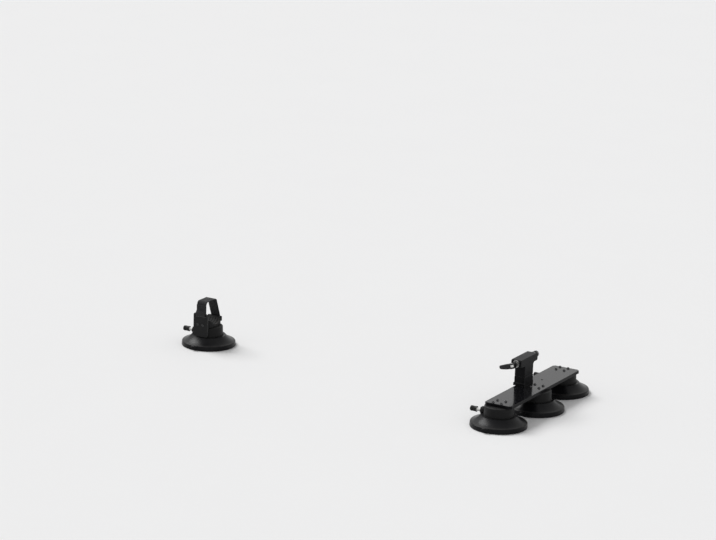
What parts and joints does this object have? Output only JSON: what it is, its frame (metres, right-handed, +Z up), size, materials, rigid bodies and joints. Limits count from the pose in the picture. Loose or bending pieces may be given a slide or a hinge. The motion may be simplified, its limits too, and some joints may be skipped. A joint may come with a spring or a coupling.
{
  "type": "roof mounted bike carrier",
  "caption": "Vacuum-cup roof carrier for one bicycle: a plate on cups with a fork clamp, and a separate cup with a wheel saddle and strap.",
  "frame": {"origin": "on the roof, under the middle of the whole set", "axes": "+X to the car's front, +Y to the car's left side, +Z up"},
  "size_m": [1.1764, 0.52, 0.1395],
  "materials": {
    "rubber": "moulded black rubber",
    "black_plastic": "moulded black plastic, satin gloss",
    "white_plastic": "white moulded plastic",
    "black_aluminium": "black anodised aluminium, glossy",
    "steel": "zinc-plated steel",
    "black_steel": "black-oxide steel",
    "webbing": "black woven webbing"
  },
  "bodies": {
    "front_unit": {"base_plate": "black_aluminium", "hub_screws": "black_steel", "fork_riser": "black_aluminium", "fork_upright": "black_aluminium", "fork_bolts": "steel", "right_dropout_face": "steel", "left_dropout_face": "steel", "axle_tube": "steel", "front_disc_screws": "steel", "right_cup": "rubber", "right_pump_body": "black_plastic", "right_pump_collar": "black_plastic", "right_check_valve": "rubber", "right_clamp_disc": "black_aluminium", "right_return_spring": "steel", "middle_cup": "rubber", "middle_pump_body": "black_plastic", "middle_pump_collar": "black_plastic", "middle_check_valve": "rubber", "middle_clamp_disc": "black_aluminium", "middle_return_spring": "steel", "left_cup": "rubber", "left_pump_body": "black_plastic", "left_pump_collar": "black_plastic", "left_check_valve": "rubber", "left_clamp_disc": "black_aluminium", "left_return_spring": "steel"},
    "rear_unit": {"wheel_saddle": "black_plastic", "saddle_pad": "rubber", "saddle_screws": "steel", "strap_bracket": "black_steel", "bracket_screws": "black_steel", "wheel_strap": "webbing", "anchor_plate": "black_steel", "anchor_screws": "black_steel", "rear_disc_screws": "steel", "rear_cup": "rubber", "rear_pump_body": "black_plastic", "rear_pump_collar": "black_plastic", "rear_check_valve": "rubber", "rear_clamp_disc": "black_aluminium", "rear_return_spring": "steel"},
    "right_plunger": {"right_plunger_rod": "white_plastic", "right_piston_seal": "rubber", "right_plunger_knob": "rubber"},
    "middle_plunger": {"middle_plunger_rod": "white_plastic", "middle_piston_seal": "rubber", "middle_plunger_knob": "rubber"},
    "left_plunger": {"left_plunger_rod": "white_plastic", "left_piston_seal": "rubber", "left_plunger_knob": "rubber"},
    "rear_plunger": {"rear_plunger_rod": "white_plastic", "rear_piston_seal": "rubber", "rear_plunger_knob": "rubber"},
    "cam_seat": {"cam_seat": "black_plastic"},
    "skewer": {"skewer_rod": "steel"},
    "cam_lever": {"cam_lever": "black_steel", "cam_pin": "steel"},
    "adjusting_nut": {"skewer_nut": "black_aluminium"}
  },
  "joints": [
    {"name": "unit_distance", "type": "slide", "parent": "front_unit", "child": "rear_unit", "axis": [1, 0, 0], "range_m": [-0.1, 0.1]},
    {"name": "right_pump_stroke", "type": "slide", "parent": "front_unit", "child": "right_plunger", "axis": [1, 0, 0], "range_m": [0, 0.012], "stiffness_N_per_m": 250, "springref_m": -0.01, "deforming": ["right_return_spring"]},
    {"name": "middle_pump_stroke", "type": "slide", "parent": "front_unit", "child": "middle_plunger", "axis": [1, 0, 0], "range_m": [0, 0.012], "stiffness_N_per_m": 250, "springref_m": -0.01, "deforming": ["middle_return_spring"]},
    {"name": "left_pump_stroke", "type": "slide", "parent": "front_unit", "child": "left_plunger", "axis": [1, 0, 0], "range_m": [0, 0.012], "stiffness_N_per_m": 250, "springref_m": -0.01, "deforming": ["left_return_spring"]},
    {"name": "rear_pump_stroke", "type": "slide", "parent": "rear_unit", "child": "rear_plunger", "axis": [1, 0, 0], "range_m": [0, 0.012], "stiffness_N_per_m": 250, "springref_m": -0.01, "deforming": ["rear_return_spring"]},
    {"name": "skewer_turn", "type": "hinge", "parent": "front_unit", "child": "cam_seat", "pos_m": [0.47325, -0.058, 0.1295], "axis": [0, 1, 0], "continuous": true},
    {"name": "skewer_draw", "type": "slide", "parent": "cam_seat", "child": "skewer", "axis": [0, 1, 0], "range_m": [0, 0.002]},
    {"name": "lever_swing", "type": "hinge", "parent": "skewer", "child": "cam_lever", "pos_m": [0.47325, -0.07095, 0.1295], "axis": [-0.2756, 0, 0.9613], "range_deg": [0, 180]},
    {"name": "nut_turn", "type": "hinge", "parent": "skewer", "child": "adjusting_nut", "pos_m": [0.47325, 0.058, 0.1295], "axis": [0, 1, 0], "continuous": true}
  ],
  "couplings": [
    {"joint": "skewer_draw", "follows": "lever_swing", "m_per_rad": 0.00063662}
  ]
}
